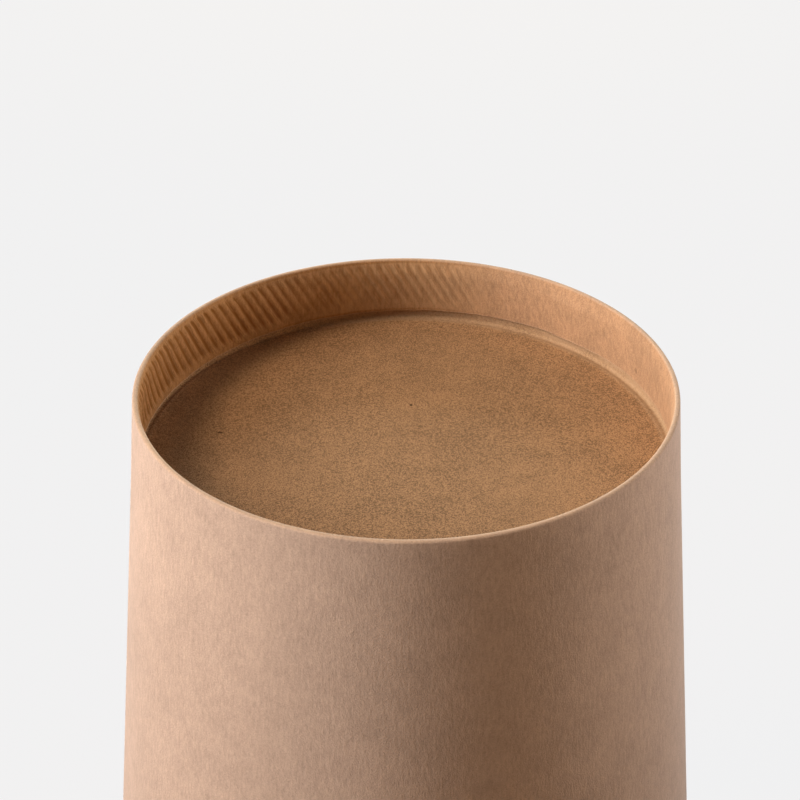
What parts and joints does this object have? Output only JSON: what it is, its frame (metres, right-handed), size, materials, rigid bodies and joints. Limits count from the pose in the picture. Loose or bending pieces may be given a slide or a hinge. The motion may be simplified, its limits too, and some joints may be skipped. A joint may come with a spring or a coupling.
{
  "type": "kraft paper cup",
  "caption": "Single-wall kraft paper cup with a rolled lip, a lapped side seam and a recessed base held in a knurled foot fold.",
  "frame": {"origin": "centre of the mouth, in the plane that the rolled lip rests on", "axes": "+Z from the mouth to the foot along the cup's axis; the lap seam lies at 51.5 degrees from +X towards +Y"},
  "size_m": [0.08, 0.08, 0.089],
  "materials": {
    "kraft_wall": "uncoated brown kraft board, matt, with fine vertical fibre flecks",
    "kraft_base": "uncoated brown kraft board, matt, with fine grain"
  },
  "bodies": {
    "root": {"side_wall": "kraft_wall", "base_disc": "kraft_base"}
  },
  "joints": []
}
